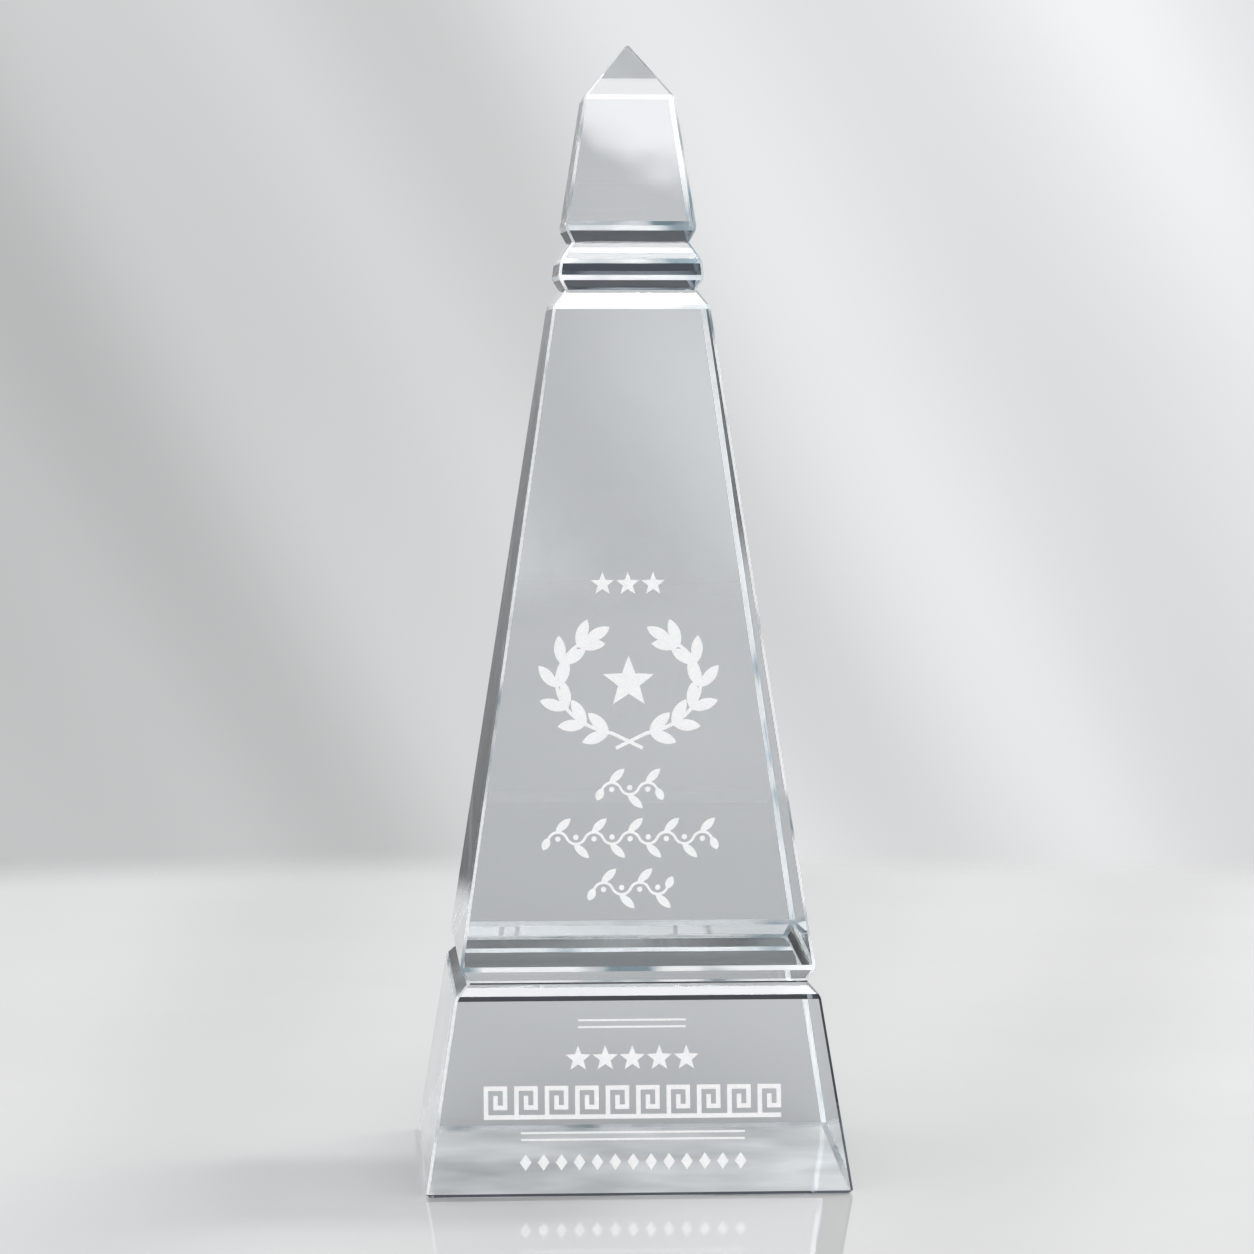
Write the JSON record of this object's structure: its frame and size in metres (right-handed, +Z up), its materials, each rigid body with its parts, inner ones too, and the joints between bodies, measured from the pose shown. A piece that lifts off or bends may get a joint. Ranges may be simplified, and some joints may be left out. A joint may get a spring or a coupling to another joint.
{
  "type": "crystal award",
  "caption": "Clear crystal obelisk award: pinnacle, collar and tapered tower bonded on a tapered square base, with white-filled engraved ornament on the front.",
  "frame": {"origin": "centre of the square underside, on the surface it stands on", "axes": "+Z up through the point of the obelisk; the engraved faces look along -Y; +X is to the right of a person who faces the engraving"},
  "size_m": [0.0938, 0.0938, 0.254],
  "materials": {
    "crystal": "polished clear optical crystal with bright bevelled edges",
    "adhesive": "clear cured adhesive film, invisible between polished seats",
    "white_enamel": "matt white enamel over a sandblasted pocket"
  },
  "bodies": {
    "root": {"base_block": "crystal", "tower_block": "crystal", "collar_block": "crystal", "pinnacle_block": "crystal", "tower_bond": "adhesive", "collar_bond": "adhesive", "pinnacle_bond": "adhesive", "star_row_infill": "white_enamel", "laurel_infill": "white_enamel", "upper_vine_infill": "white_enamel", "middle_vine_infill": "white_enamel", "lower_vine_infill": "white_enamel", "upper_rule_infill": "white_enamel", "base_star_row_infill": "white_enamel", "key_band_infill": "white_enamel", "lower_rule_infill": "white_enamel", "diamond_row_infill": "white_enamel"}
  },
  "joints": []
}
